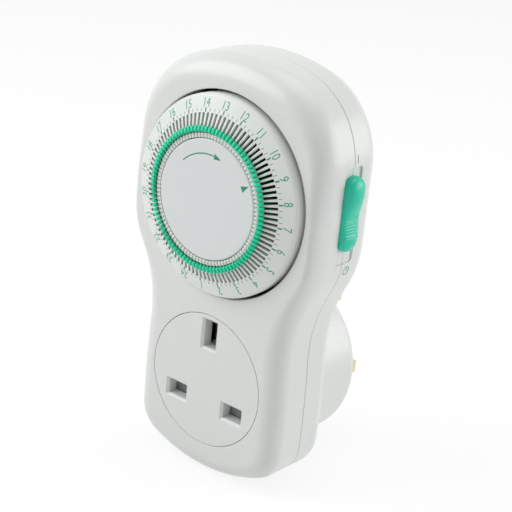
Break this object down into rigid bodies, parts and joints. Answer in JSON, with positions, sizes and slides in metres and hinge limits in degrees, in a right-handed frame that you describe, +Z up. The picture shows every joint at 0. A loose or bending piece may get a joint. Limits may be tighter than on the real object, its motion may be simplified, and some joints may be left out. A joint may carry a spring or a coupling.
{
  "type": "plug-in timer switch",
  "caption": "Plug-in mains timer: three-pin plug behind, shuttered socket in front, and a 24-hour tappet dial that works a switch.",
  "frame": {"origin": "on the plug's seating face, midway between the live and neutral pins", "axes": "+X to the right seen from the front, +Y into the wall along the pins, +Z up"},
  "size_m": [0.0742, 0.0729, 0.1307],
  "materials": {
    "housing": "fine satin moulded",
    "dial": "fine satin moulded",
    "green": "semi-gloss moulded",
    "slider": "semi-gloss moulded",
    "nylon": "natural nylon",
    "black": "matt moulded",
    "sleeve": "smooth insulating sleeve",
    "red": "moulded",
    "brass": "drawn, lightly polished",
    "steel": "zinc plated",
    "winding": "enamelled copper winding",
    "magnet": "sintered",
    "wire_brown": "PVC insulation",
    "wire_blue": "PVC insulation"
  },
  "bodies": {
    "housing": {"front_cover": "housing", "socket_plate": "housing", "rear_cover": "housing", "cover_screws": "steel", "mechanism_plate": "nylon", "centre_cap": "dial", "live_pin": "brass", "neutral_pin": "brass", "earth_pin": "brass", "pin_sleeves": "sleeve", "live_contact": "brass", "neutral_contact": "brass", "earth_contact": "brass", "live_wires": "wire_brown", "motor_leads": "wire_blue", "motor_can": "steel", "motor_coil": "winding", "clutch_axle": "steel", "switch_body": "black", "switch_terminals": "brass"},
    "dial": {"dial": "dial", "dial_gear": "nylon", "tappets_quarter_2": "green", "tappets_quarter_3": "green", "tappets_quarter_4": "green"},
    "clutch_pinion": {"clutch_pinion": "green"},
    "clutch_wheel": {"clutch_wheel": "nylon", "clutch_spring": "steel"},
    "output_pinion": {"output_pinion": "brass"},
    "motor_rotor": {"motor_rotor": "magnet"},
    "trip_lever": {"trip_lever": "green"},
    "switch_plunger": {"switch_plunger": "red"},
    "override": {"override_slider": "slider", "override_cam": "nylon"},
    "shutter": {"shutter": "nylon", "shutter_spring": "steel"},
    "tappet_01": {"tappet_01": "green"},
    "tappet_02": {"tappet_02": "green"},
    "tappet_03": {"tappet_03": "green"},
    "tappet_04": {"tappet_04": "green"},
    "tappet_05": {"tappet_05": "green"},
    "tappet_06": {"tappet_06": "green"},
    "tappet_07": {"tappet_07": "green"},
    "tappet_08": {"tappet_08": "green"},
    "tappet_09": {"tappet_09": "green"},
    "tappet_10": {"tappet_10": "green"},
    "tappet_11": {"tappet_11": "green"},
    "tappet_12": {"tappet_12": "green"},
    "tappet_13": {"tappet_13": "green"},
    "tappet_14": {"tappet_14": "green"},
    "tappet_15": {"tappet_15": "green"},
    "tappet_16": {"tappet_16": "green"},
    "tappet_17": {"tappet_17": "green"},
    "tappet_18": {"tappet_18": "green"},
    "tappet_19": {"tappet_19": "green"},
    "tappet_20": {"tappet_20": "green"},
    "tappet_21": {"tappet_21": "green"},
    "tappet_22": {"tappet_22": "green"},
    "tappet_23": {"tappet_23": "green"},
    "tappet_24": {"tappet_24": "green"}
  },
  "joints": [
    {"name": "dial_spin", "type": "hinge", "parent": "housing", "child": "dial", "pos_m": [0, -0.045, 0.0663], "axis": [0, 1, 0], "continuous": true},
    {"name": "pinion_spin", "type": "hinge", "parent": "housing", "child": "clutch_pinion", "pos_m": [0, -0.038, 0.0903], "axis": [0, 1, 0], "continuous": true},
    {"name": "wheel_spin", "type": "hinge", "parent": "housing", "child": "clutch_wheel", "pos_m": [0, -0.0345, 0.0903], "axis": [0, 1, 0], "continuous": true},
    {"name": "output_spin", "type": "hinge", "parent": "housing", "child": "output_pinion", "pos_m": [-0.01061, -0.0345, 0.07969], "axis": [0, 1, 0], "continuous": true},
    {"name": "rotor_spin", "type": "hinge", "parent": "housing", "child": "motor_rotor", "pos_m": [-0.008, -0.025, 0.066], "axis": [0, 1, 0], "continuous": true},
    {"name": "override_slide", "type": "slide", "parent": "housing", "child": "override", "axis": [0, 0, 1], "range_m": [0, 0.0022]},
    {"name": "lever_swing", "type": "hinge", "parent": "housing", "child": "trip_lever", "pos_m": [0.022, -0.0344, 0.046], "axis": [0, 1, 0], "range_deg": [0, 6.6]},
    {"name": "plunger_press", "type": "slide", "parent": "housing", "child": "switch_plunger", "axis": [1, 0, 0], "range_m": [0, 0.0012]},
    {"name": "shutter_slide", "type": "slide", "parent": "housing", "child": "shutter", "axis": [0, 0, -1], "range_m": [0, 0.0062], "stiffness_N_per_m": 60, "springref_m": -0.003, "deforming": ["shutter_spring"]},
    {"name": "tappet_01_slide", "type": "slide", "parent": "dial", "child": "tappet_01", "axis": [-0.0423, 0, -0.9991], "range_m": [0, 0.0029]},
    {"name": "tappet_02_slide", "type": "slide", "parent": "dial", "child": "tappet_02", "axis": [0.2177, 0, -0.976], "range_m": [0, 0.0029]},
    {"name": "tappet_03_slide", "type": "slide", "parent": "dial", "child": "tappet_03", "axis": [0.4629, 0, -0.8864], "range_m": [0, 0.0029]},
    {"name": "tappet_04_slide", "type": "slide", "parent": "dial", "child": "tappet_04", "axis": [0.6766, 0, -0.7364], "range_m": [0, 0.0029]},
    {"name": "tappet_05_slide", "type": "slide", "parent": "dial", "child": "tappet_05", "axis": [0.8441, 0, -0.5362], "range_m": [0, 0.0029]},
    {"name": "tappet_06_slide", "type": "slide", "parent": "dial", "child": "tappet_06", "axis": [0.9541, 0, -0.2995], "range_m": [0, 0.0029]},
    {"name": "tappet_07_slide", "type": "slide", "parent": "dial", "child": "tappet_07", "axis": [0.9991, 0, -0.0423], "range_m": [0, 0.0029]},
    {"name": "tappet_08_slide", "type": "slide", "parent": "dial", "child": "tappet_08", "axis": [0.976, 0, 0.2177], "range_m": [0, 0.0029]},
    {"name": "tappet_09_slide", "type": "slide", "parent": "dial", "child": "tappet_09", "axis": [0.8864, 0, 0.4629], "range_m": [0, 0.0029]},
    {"name": "tappet_10_slide", "type": "slide", "parent": "dial", "child": "tappet_10", "axis": [0.7364, 0, 0.6766], "range_m": [0, 0.0029]},
    {"name": "tappet_11_slide", "type": "slide", "parent": "dial", "child": "tappet_11", "axis": [0.5362, 0, 0.8441], "range_m": [0, 0.0029]},
    {"name": "tappet_12_slide", "type": "slide", "parent": "dial", "child": "tappet_12", "axis": [0.2995, 0, 0.9541], "range_m": [0, 0.0029]},
    {"name": "tappet_13_slide", "type": "slide", "parent": "dial", "child": "tappet_13", "axis": [0.0423, 0, 0.9991], "range_m": [0, 0.0029]},
    {"name": "tappet_14_slide", "type": "slide", "parent": "dial", "child": "tappet_14", "axis": [-0.2177, 0, 0.976], "range_m": [0, 0.0029]},
    {"name": "tappet_15_slide", "type": "slide", "parent": "dial", "child": "tappet_15", "axis": [-0.4629, 0, 0.8864], "range_m": [0, 0.0029]},
    {"name": "tappet_16_slide", "type": "slide", "parent": "dial", "child": "tappet_16", "axis": [-0.6766, 0, 0.7364], "range_m": [0, 0.0029]},
    {"name": "tappet_17_slide", "type": "slide", "parent": "dial", "child": "tappet_17", "axis": [-0.8441, 0, 0.5362], "range_m": [0, 0.0029]},
    {"name": "tappet_18_slide", "type": "slide", "parent": "dial", "child": "tappet_18", "axis": [-0.9541, 0, 0.2995], "range_m": [0, 0.0029]},
    {"name": "tappet_19_slide", "type": "slide", "parent": "dial", "child": "tappet_19", "axis": [-0.9991, 0, 0.0423], "range_m": [0, 0.0029]},
    {"name": "tappet_20_slide", "type": "slide", "parent": "dial", "child": "tappet_20", "axis": [-0.976, 0, -0.2177], "range_m": [0, 0.0029]},
    {"name": "tappet_21_slide", "type": "slide", "parent": "dial", "child": "tappet_21", "axis": [-0.8864, 0, -0.4629], "range_m": [0, 0.0029]},
    {"name": "tappet_22_slide", "type": "slide", "parent": "dial", "child": "tappet_22", "axis": [-0.7364, 0, -0.6766], "range_m": [0, 0.0029]},
    {"name": "tappet_23_slide", "type": "slide", "parent": "dial", "child": "tappet_23", "axis": [-0.5362, 0, -0.8441], "range_m": [0, 0.0029]},
    {"name": "tappet_24_slide", "type": "slide", "parent": "dial", "child": "tappet_24", "axis": [-0.2995, 0, -0.9541], "range_m": [0, 0.0029]}
  ],
  "couplings": [
    {"joint": "pinion_spin", "follows": "dial_spin", "ratio": -4},
    {"joint": "output_spin", "follows": "wheel_spin", "ratio": -4},
    {"joint": "lever_swing", "follows": "override_slide", "rad_per_m": 47.2},
    {"joint": "plunger_press", "follows": "override_slide", "ratio": 0.519}
  ]
}
